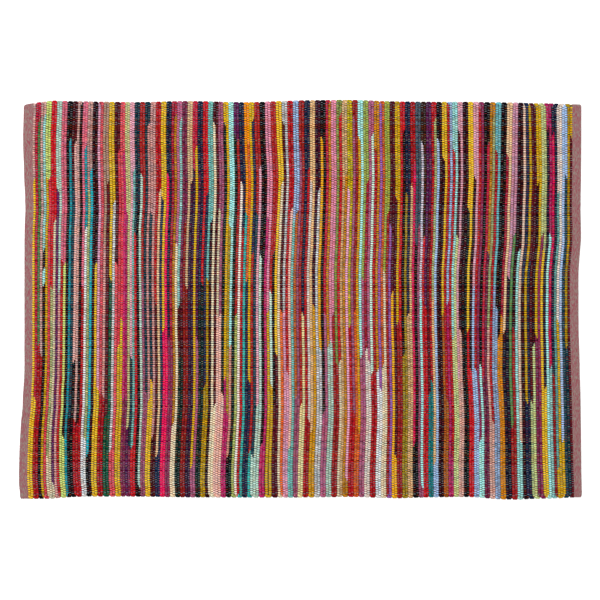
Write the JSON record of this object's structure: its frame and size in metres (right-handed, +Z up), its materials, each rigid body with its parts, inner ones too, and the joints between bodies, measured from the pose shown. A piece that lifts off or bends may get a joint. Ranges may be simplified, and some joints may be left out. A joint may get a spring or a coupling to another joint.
{
  "type": "rag rug",
  "caption": "Flat hand-woven rag rug with random stripes of cotton rags running across its width and a narrow woven heading hemmed under at each end.",
  "frame": {"origin": "middle of the rug's outline, at the flat underside that lies on the floor", "axes": "+X along the long side, +Y across the rug along the rag stripes, +Z up out of the floor"},
  "size_m": [1.716, 1.2174, 0.0065],
  "materials": {
    "rag_weave": "matt cotton rags in many colours",
    "warp": "matt twisted cotton yarn",
    "heading": "fine mauve and grey-green melange weave"
  },
  "bodies": {
    "root": {"rug": "rag_weave"}
  },
  "joints": []
}
